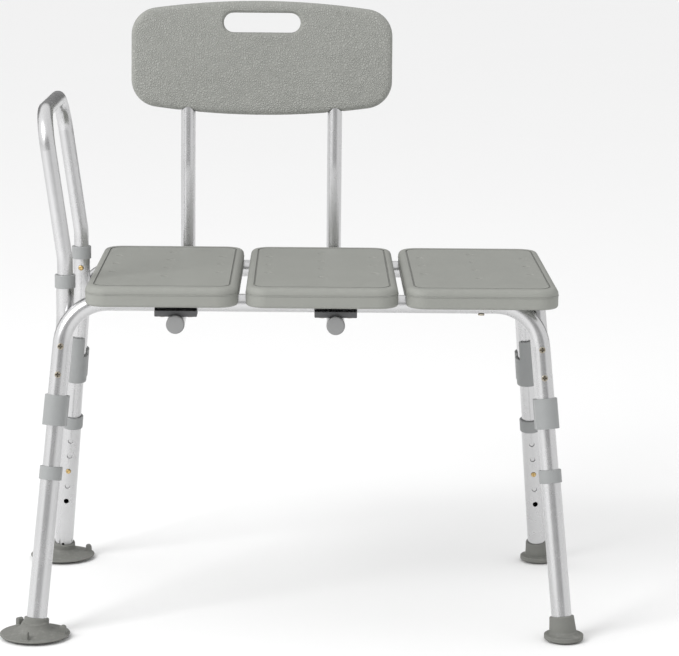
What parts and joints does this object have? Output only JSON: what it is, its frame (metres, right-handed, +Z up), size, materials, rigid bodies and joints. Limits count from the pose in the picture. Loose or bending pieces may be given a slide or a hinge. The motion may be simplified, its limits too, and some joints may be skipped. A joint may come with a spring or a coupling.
{
  "type": "bath transfer bench",
  "caption": "Bath transfer bench: moulded seat panels on an aluminium tube frame with height-adjustable legs, a side grab handle, a backrest, suction feet and rubber tips.",
  "frame": {"origin": "on the floor under the middle of the bench's outline", "axes": "+Z up, +Y to the back where the backrest is, +X to the bench's plain end, away from the side handle"},
  "size_m": [0.828, 0.5368, 0.8737],
  "materials": {
    "seat_shell": "fine matt moulding grain",
    "backrest_shell": "leather-like moulded grain",
    "moulding": "smooth matt",
    "cap": "smooth matt",
    "saddle": "smooth matt",
    "foot_rubber": "soft matt rubber",
    "frame_tube": "satin anodised",
    "leg_tube": "satin anodised",
    "slim_tube": "satin anodised",
    "button": "polished brass",
    "spring": "rolled spring steel",
    "screw": "zinc-plated steel"
  },
  "bodies": {
    "frame": {"front_rail": "frame_tube", "rear_rail": "frame_tube", "front_left_post": "frame_tube", "front_left_bracket": "moulding", "front_left_leg_spring": "spring", "front_right_post": "frame_tube", "front_right_post_cap": "moulding", "front_right_bracket": "moulding", "front_right_leg_spring": "spring", "rear_left_post": "frame_tube", "rear_left_bracket": "moulding", "rear_left_leg_spring": "spring", "rear_right_post": "frame_tube", "rear_right_post_cap": "moulding", "rear_right_bracket": "moulding", "rear_right_leg_spring": "spring", "front_handle_collar": "moulding", "rear_handle_collar": "moulding", "left_backrest_receiver": "frame_tube", "left_receiver_cap": "cap", "right_backrest_receiver": "frame_tube", "right_receiver_cap": "cap", "front_left_saddle": "saddle", "front_right_saddle": "saddle", "rear_left_saddle": "saddle", "rear_right_saddle": "saddle", "left_seat_panel": "seat_shell", "middle_seat_panel": "seat_shell", "right_seat_panel": "seat_shell", "rail_screws": "screw", "seat_screws": "screw", "saddle_screws": "screw"},
    "front_left_leg_body": {"front_left_leg": "leg_tube", "front_left_leg_collar": "moulding", "front_left_suction_foot": "foot_rubber"},
    "front_left_button_body": {"front_left_leg_button": "button"},
    "front_right_leg_body": {"front_right_leg": "leg_tube", "front_right_leg_collar": "moulding", "front_right_rubber_tip": "foot_rubber"},
    "front_right_button_body": {"front_right_leg_button": "button"},
    "rear_left_leg_body": {"rear_left_leg": "leg_tube", "rear_left_leg_collar": "moulding", "rear_left_suction_foot": "foot_rubber"},
    "rear_left_button_body": {"rear_left_leg_button": "button"},
    "rear_right_leg_body": {"rear_right_leg": "leg_tube", "rear_right_leg_collar": "moulding", "rear_right_rubber_tip": "foot_rubber"},
    "rear_right_button_body": {"rear_right_leg_button": "button"},
    "handle": {"side_handle": "slim_tube", "front_handle_spring": "spring", "rear_handle_spring": "spring"},
    "front_handle_button_body": {"front_handle_button": "button"},
    "rear_handle_button_body": {"rear_handle_button": "button"},
    "backrest": {"left_backrest_tube": "slim_tube", "right_backrest_tube": "slim_tube", "backrest_springs": "spring", "backrest_plate": "backrest_shell", "backrest_screws": "screw"},
    "left_backrest_button_body": {"left_backrest_button": "button"},
    "right_backrest_button_body": {"right_backrest_button": "button"}
  },
  "joints": [
    {"name": "front_left_leg_height", "type": "slide", "parent": "frame", "child": "front_left_leg_body", "axis": [0.0882, 0.1765, 0.9803], "range_m": [-0.0508, 0.0508], "deforming": ["front_left_leg_button", "front_left_leg_spring"]},
    {"name": "front_left_leg_button_press", "type": "slide", "parent": "frame", "child": "front_left_button_body", "axis": [0, -0.9842, 0.1772], "range_m": [0, 0.004], "stiffness_N_per_m": 1500, "deforming": ["front_left_leg_spring"]},
    {"name": "front_right_leg_height", "type": "slide", "parent": "frame", "child": "front_right_leg_body", "axis": [-0.0882, 0.1765, 0.9803], "range_m": [-0.0508, 0.0508], "deforming": ["front_right_leg_button", "front_right_leg_spring"]},
    {"name": "front_right_leg_button_press", "type": "slide", "parent": "frame", "child": "front_right_button_body", "axis": [0, -0.9842, 0.1772], "range_m": [0, 0.004], "stiffness_N_per_m": 1500, "deforming": ["front_right_leg_spring"]},
    {"name": "rear_left_leg_height", "type": "slide", "parent": "frame", "child": "rear_left_leg_body", "axis": [0.0882, -0.1765, 0.9803], "range_m": [-0.0508, 0.0508], "deforming": ["rear_left_leg_button", "rear_left_leg_spring"]},
    {"name": "rear_left_leg_button_press", "type": "slide", "parent": "frame", "child": "rear_left_button_body", "axis": [0, 0.9842, 0.1772], "range_m": [0, 0.004], "stiffness_N_per_m": 1500, "deforming": ["rear_left_leg_spring"]},
    {"name": "rear_right_leg_height", "type": "slide", "parent": "frame", "child": "rear_right_leg_body", "axis": [-0.0882, -0.1765, 0.9803], "range_m": [-0.0508, 0.0508], "deforming": ["rear_right_leg_button", "rear_right_leg_spring"]},
    {"name": "rear_right_leg_button_press", "type": "slide", "parent": "frame", "child": "rear_right_button_body", "axis": [0, 0.9842, 0.1772], "range_m": [0, 0.004], "stiffness_N_per_m": 1500, "deforming": ["rear_right_leg_spring"]},
    {"name": "handle_lift", "type": "slide", "parent": "frame", "child": "handle", "axis": [0, 0, 1], "range_m": [0, 0.045], "deforming": ["front_handle_button", "rear_handle_button"]},
    {"name": "front_handle_button_press", "type": "slide", "parent": "handle", "child": "front_handle_button_body", "axis": [0, -1, 0], "range_m": [0, 0.004], "stiffness_N_per_m": 1500, "deforming": ["front_handle_spring"]},
    {"name": "rear_handle_button_press", "type": "slide", "parent": "handle", "child": "rear_handle_button_body", "axis": [0, 1, 0], "range_m": [0, 0.004], "stiffness_N_per_m": 1500, "deforming": ["rear_handle_spring"]},
    {"name": "backrest_draw", "type": "slide", "parent": "frame", "child": "backrest", "axis": [0, 1, 0], "range_m": [0, 0.2], "deforming": ["left_backrest_button", "right_backrest_button"]},
    {"name": "left_backrest_button_press", "type": "slide", "parent": "backrest", "child": "left_backrest_button_body", "axis": [0, 0, 1], "range_m": [0, 0.004], "stiffness_N_per_m": 1500, "deforming": ["backrest_springs"]},
    {"name": "right_backrest_button_press", "type": "slide", "parent": "backrest", "child": "right_backrest_button_body", "axis": [0, 0, 1], "range_m": [0, 0.004], "stiffness_N_per_m": 1500, "deforming": ["backrest_springs"]}
  ]
}
